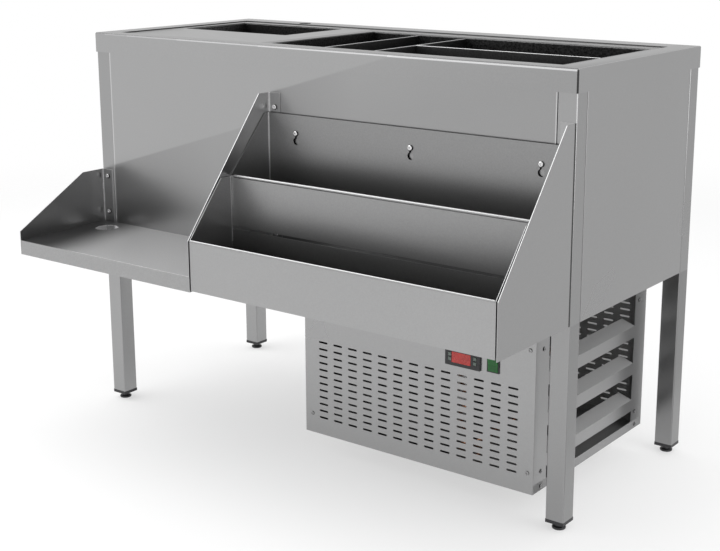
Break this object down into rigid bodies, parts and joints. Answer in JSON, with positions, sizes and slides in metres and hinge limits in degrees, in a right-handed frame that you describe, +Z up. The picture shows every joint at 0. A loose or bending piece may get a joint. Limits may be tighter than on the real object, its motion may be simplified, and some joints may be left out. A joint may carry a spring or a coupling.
{
  "type": "cocktail station",
  "caption": "Stainless steel bartender's cocktail station with a hand sink, a chilled ice well with dividers, a blender shelf, bottle rails and a condensing unit hung below.",
  "frame": {"origin": "on the floor, under the middle of the outline of the worktop and the rails", "axes": "+X to the right along the worktop, +Y from the bartender's side to the back, +Z up"},
  "size_m": [1.2, 0.74, 0.85],
  "materials": {
    "stainless": "satin",
    "galvanised": "dull zinc",
    "fastener": "plain machined",
    "black_plastic": "fine texture",
    "black_paint": "semi-gloss",
    "foam": "rigid foam",
    "copper": "drawn tube",
    "rubber": "matte",
    "fins": "stacked fins",
    "fan_alloy": "plain",
    "red_lens": "tinted window",
    "key_grey": "soft",
    "green_lens": "translucent"
  },
  "bodies": {
    "chassis": {"legs": "stainless", "leg_plugs": "black_plastic", "worktop": "stainless", "front_panel": "stainless", "back_panel": "stainless", "left_panel": "stainless", "right_panel": "stainless", "hanger_rails": "galvanised", "sink_bowl": "stainless", "sink_drain": "stainless", "sink_drain_nut": "black_plastic", "well_liner": "stainless", "well_insulation": "foam", "well_casing": "galvanised", "evaporator": "copper", "well_drain": "stainless", "divider_guides": "stainless", "blender_shelf": "stainless", "shelf_side_panel": "stainless", "shelf_bolts": "fastener", "rail_bracket_left": "stainless", "rail_bracket_right": "stainless", "bracket_bolts": "fastener", "lower_rail": "stainless", "hanging_bolts": "fastener", "rail_bolts": "fastener", "unit_tray": "stainless", "unit_front_grille": "stainless", "unit_right_louvre": "stainless", "unit_left_side": "stainless", "unit_back_grille": "stainless", "unit_screws": "fastener", "compressor": "black_paint", "compressor_mounts": "rubber", "condenser": "fins", "fan_shroud": "galvanised", "fan_motor": "black_paint", "filter_drier": "copper", "refrigerant_pipes": "copper", "junction_box": "black_plastic", "power_inlet": "black_plastic", "controller_body": "black_plastic", "controller_display": "red_lens", "switch_frame": "black_plastic"},
    "foot_front_left": {"foot_front_left": "black_plastic"},
    "foot_front_right": {"foot_front_right": "black_plastic"},
    "foot_back_left": {"foot_back_left": "black_plastic"},
    "foot_back_right": {"foot_back_right": "black_plastic"},
    "sink_strainer": {"sink_strainer": "stainless"},
    "well_false_bottom": {"well_false_bottom": "stainless"},
    "divider_left": {"divider_left": "stainless"},
    "divider_middle": {"divider_middle": "stainless"},
    "divider_cross": {"divider_cross": "stainless"},
    "upper_rail": {"upper_rail": "stainless"},
    "fan_blade": {"fan_blade": "fan_alloy"},
    "key_top_left": {"key_top_left": "key_grey"},
    "key_bottom_left": {"key_bottom_left": "key_grey"},
    "key_top_right": {"key_top_right": "key_grey"},
    "key_bottom_right": {"key_bottom_right": "key_grey"},
    "switch_rocker": {"switch_rocker": "green_lens"}
  },
  "joints": [
    {"name": "foot_front_left_height", "type": "slide", "parent": "chassis", "child": "foot_front_left", "axis": [0, 0, -1], "range_m": [0, 0.02]},
    {"name": "foot_front_right_height", "type": "slide", "parent": "chassis", "child": "foot_front_right", "axis": [0, 0, -1], "range_m": [0, 0.02]},
    {"name": "foot_back_left_height", "type": "slide", "parent": "chassis", "child": "foot_back_left", "axis": [0, 0, -1], "range_m": [0, 0.02]},
    {"name": "foot_back_right_height", "type": "slide", "parent": "chassis", "child": "foot_back_right", "axis": [0, 0, -1], "range_m": [0, 0.02]},
    {"name": "strainer_lift", "type": "slide", "parent": "chassis", "child": "sink_strainer", "axis": [0, 0, 1], "range_m": [0, 0.18]},
    {"name": "false_bottom_lift", "type": "slide", "parent": "chassis", "child": "well_false_bottom", "axis": [0, 0, 1], "range_m": [0, 0.31]},
    {"name": "divider_left_lift", "type": "slide", "parent": "well_false_bottom", "child": "divider_left", "axis": [0, 0, 1], "range_m": [0, 0.285]},
    {"name": "divider_middle_lift", "type": "slide", "parent": "well_false_bottom", "child": "divider_middle", "axis": [0, 0, 1], "range_m": [0, 0.285]},
    {"name": "divider_cross_lift", "type": "slide", "parent": "well_false_bottom", "child": "divider_cross", "axis": [0, 0, 1], "range_m": [0, 0.285]},
    {"name": "upper_rail_lift", "type": "slide", "parent": "chassis", "child": "upper_rail", "axis": [0, 0, 1], "range_m": [0, 0.0155]},
    {"name": "fan_spin", "type": "hinge", "parent": "chassis", "child": "fan_blade", "pos_m": [0.2065, -0.035, 0.19], "axis": [0, 1, 0], "continuous": true},
    {"name": "key_top_left_press", "type": "slide", "parent": "chassis", "child": "key_top_left", "axis": [0, 1, 0], "range_m": [0, 0.0008], "stiffness_N_per_m": 400, "springref_m": -0.001},
    {"name": "key_bottom_left_press", "type": "slide", "parent": "chassis", "child": "key_bottom_left", "axis": [0, 1, 0], "range_m": [0, 0.0008], "stiffness_N_per_m": 400, "springref_m": -0.001},
    {"name": "key_top_right_press", "type": "slide", "parent": "chassis", "child": "key_top_right", "axis": [0, 1, 0], "range_m": [0, 0.0008], "stiffness_N_per_m": 400, "springref_m": -0.001},
    {"name": "key_bottom_right_press", "type": "slide", "parent": "chassis", "child": "key_bottom_right", "axis": [0, 1, 0], "range_m": [0, 0.0008], "stiffness_N_per_m": 400, "springref_m": -0.001},
    {"name": "rocker_switch", "type": "hinge", "parent": "chassis", "child": "switch_rocker", "pos_m": [0.444, -0.13, 0.2945], "axis": [1, 0, 0], "range_deg": [-16, 0]}
  ]
}
